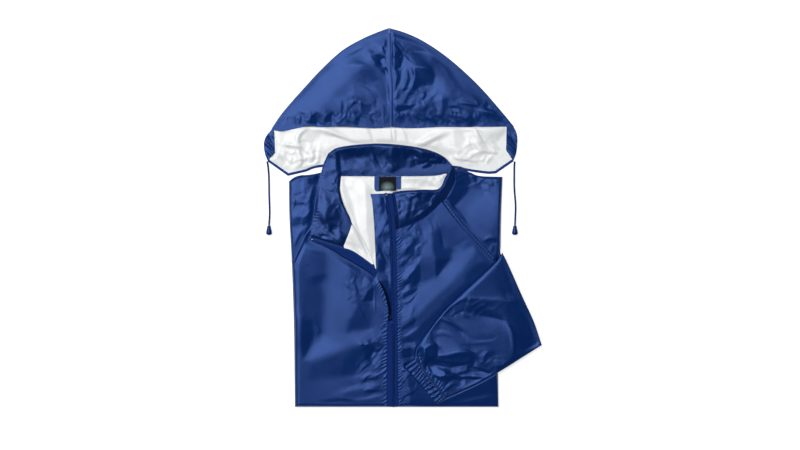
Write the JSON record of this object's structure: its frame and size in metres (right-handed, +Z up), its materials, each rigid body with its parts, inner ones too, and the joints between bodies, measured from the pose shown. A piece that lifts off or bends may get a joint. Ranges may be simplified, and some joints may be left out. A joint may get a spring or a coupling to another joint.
{
  "type": "folded hooded raincoat",
  "caption": "Hooded coated-nylon raincoat with raglan sleeves, stand collar, front zip, drawcord hood and elastic cuff, folded and laid flat.",
  "frame": {"origin": "middle of the bounding box on the surface that the coat lies on, cords and stoppers left out", "axes": "+X to the right seen from above, which is the wearer's left, +Y from the hem towards the hood, +Z up from the surface"},
  "size_m": [0.5552, 0.7575, 0.0183],
  "materials": {
    "shell_blue": "glossy coated royal-blue nylon taffeta",
    "coating_white": "white coated inside of the nylon",
    "tape_blue": "matt woven blue tape",
    "label_dark": "dark woven label, left plain",
    "cord_blue": "round braided blue cord",
    "zip_metal": "blue lacquered zip parts",
    "stopper_blue": "dark blue moulded plastic"
  },
  "bodies": {
    "coat": {"folded_layers": "shell_blue", "back_panel": "coating_white", "front_right": "shell_blue", "front_left": "shell_blue", "front_turned_back": "coating_white", "sleeve_right_upper": "shell_blue", "sleeve_left_upper": "shell_blue", "sleeve_left_folded": "shell_blue", "cuff_left": "shell_blue", "collar_facing": "shell_blue", "collar_outer": "shell_blue", "storm_flap": "shell_blue", "label_patch": "shell_blue", "neck_label": "label_dark", "hood_left": "shell_blue", "hood_right": "shell_blue", "hood_casing_left": "shell_blue", "hood_casing_right": "shell_blue", "hood_binding_left": "tape_blue", "hood_binding_right": "tape_blue", "zip_tape_left": "tape_blue", "zip_tape_right": "tape_blue", "zip_tape_turned": "tape_blue", "zip_stop_left": "zip_metal", "zip_stop_right": "zip_metal", "zip_slider": "zip_metal", "drawcord_left": "cord_blue", "drawcord_right": "cord_blue", "cord_stopper_left": "stopper_blue", "cord_stopper_right": "stopper_blue"},
    "pull": {"zip_pull": "zip_metal"}
  },
  "joints": [
    {"name": "pull_swing", "type": "hinge", "parent": "coat", "child": "pull", "pos_m": [-0.0205, -0.214, 0.016], "axis": [-0.9848, -0.1736, 0], "range_deg": [0, 150]}
  ]
}
